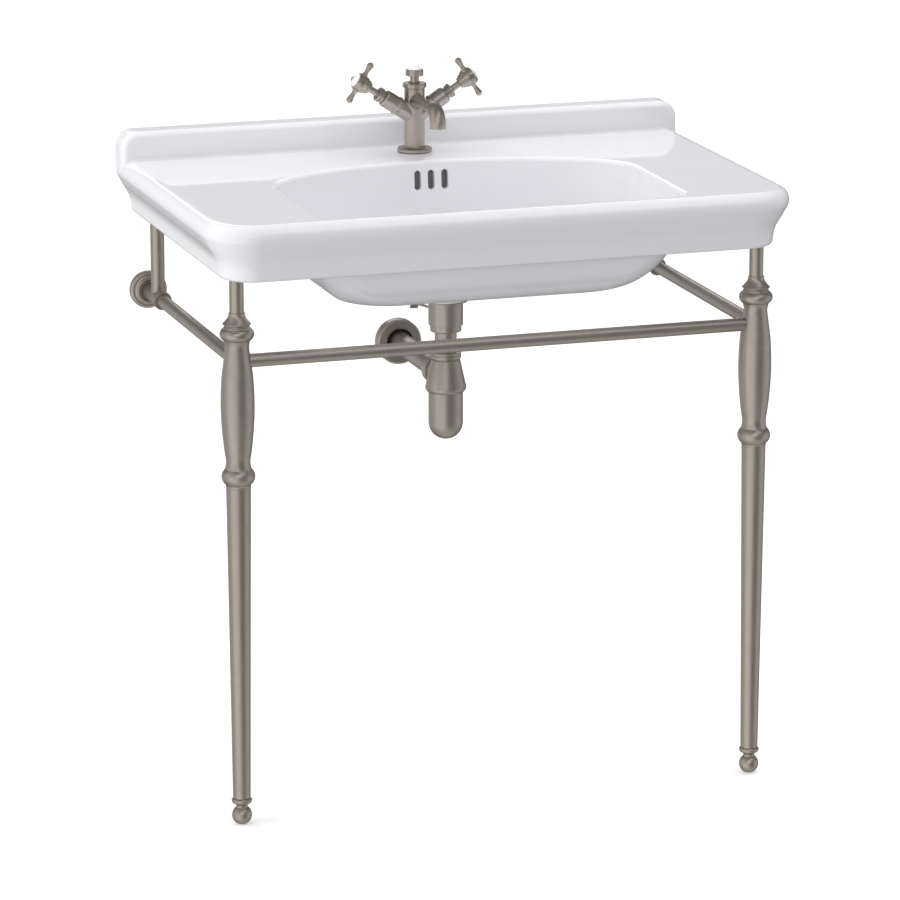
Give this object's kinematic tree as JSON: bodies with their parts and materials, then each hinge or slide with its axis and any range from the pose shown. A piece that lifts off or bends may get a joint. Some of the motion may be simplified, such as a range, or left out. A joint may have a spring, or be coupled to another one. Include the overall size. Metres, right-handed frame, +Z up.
{
  "type": "console sink with legs",
  "caption": "Ceramic console basin on turned front legs with tubular rails, tap with cross handles, pop-up waste, trap and wall fixings.",
  "frame": {"origin": "on the floor, under the middle of the basin's width and depth", "axes": "+Z up, +Y from the user towards the wall, +X to the user's right; the wall is the plane y = 0.275 m"},
  "size_m": [0.85, 0.55, 0.9968],
  "materials": {
    "ceramic": "glossy white glaze",
    "nickel": "brushed nickel, warm grey",
    "index_ceramic": "glossy white",
    "brass": "turned brass",
    "steel": "zinc-plated",
    "white_plastic": "matt white",
    "black_rubber": "matt black"
  },
  "bodies": {
    "console": {"basin": "ceramic", "tap_body": "nickel", "tap_spout": "nickel", "tap_cap": "nickel", "hot_bonnet": "nickel", "cold_bonnet": "nickel", "gland_nuts": "nickel", "lever_nut": "nickel", "waste_flange": "nickel", "waste_body": "nickel", "trap_inlet_nut": "nickel", "trap_top_nut": "nickel", "trap_body": "nickel", "trap_bottle": "nickel", "outlet_nut": "nickel", "wall_pipe": "nickel", "pipe_rose": "nickel", "trap_inlet_tube": "nickel", "front_post_left": "nickel", "front_post_right": "nickel", "leg_baluster_left": "nickel", "leg_baluster_right": "nickel", "leg_lower_left": "nickel", "leg_lower_right": "nickel", "side_rail_left": "nickel", "side_rail_right": "nickel", "front_rail": "nickel", "wall_tee_left": "nickel", "wall_tee_right": "nickel", "rear_post_left": "nickel", "rear_post_right": "nickel", "wall_flange_left": "nickel", "wall_flange_right": "nickel", "tap_stud": "brass", "tap_nut": "brass", "tap_clamp_plate": "steel", "wall_plates": "steel", "waste_washer": "white_plastic", "valve_cartridges": "white_plastic", "tap_aerator": "white_plastic", "tap_base_seal": "black_rubber", "trap_seals": "black_rubber", "pipe_rose_seal": "black_rubber", "post_pads": "black_rubber"},
    "hot_valve": {"hot_spindle": "brass", "hot_handle": "nickel", "hot_index": "index_ceramic"},
    "cold_valve": {"cold_spindle": "brass", "cold_handle": "nickel", "cold_index": "index_ceramic"},
    "lift": {"lift_rod": "nickel", "lift_knob": "nickel", "knob_button": "index_ceramic", "linkage_strap": "nickel", "strap_screw": "brass"},
    "lever": {"popup_lever": "nickel"},
    "plug": {"popup_plug": "nickel", "plug_seal": "black_rubber"},
    "foot_left": {"levelling_foot_left": "nickel"},
    "foot_right": {"levelling_foot_right": "nickel"}
  },
  "joints": [
    {"name": "hot_turn", "type": "hinge", "parent": "console", "child": "hot_valve", "pos_m": [0, 0.185, 0.914], "axis": [-0.8368, 0, 0.5476], "range_deg": [0, 90]},
    {"name": "cold_turn", "type": "hinge", "parent": "console", "child": "cold_valve", "pos_m": [0, 0.185, 0.914], "axis": [-0.8368, 0, -0.5476], "range_deg": [0, 90]},
    {"name": "knob_lift", "type": "slide", "parent": "console", "child": "lift", "axis": [0, 0, 1], "range_m": [0, 0.03168]},
    {"name": "lever_tilt", "type": "hinge", "parent": "console", "child": "lever", "pos_m": [0, 0.062, 0.652], "axis": [1, 0, 0], "range_deg": [0, 14.26]},
    {"name": "plug_drop", "type": "slide", "parent": "console", "child": "plug", "axis": [0, 0, -1], "range_m": [0, 0.00602]},
    {"name": "foot_left_screw", "type": "slide", "parent": "console", "child": "foot_left", "axis": [0, 0, -1], "range_m": [0, 0.012]},
    {"name": "foot_right_screw", "type": "slide", "parent": "console", "child": "foot_right", "axis": [0, 0, -1], "range_m": [0, 0.012]}
  ],
  "couplings": [
    {"joint": "lever_tilt", "follows": "knob_lift", "rad_per_m": 7.8519},
    {"joint": "plug_drop", "follows": "knob_lift", "ratio": 0.18942}
  ]
}
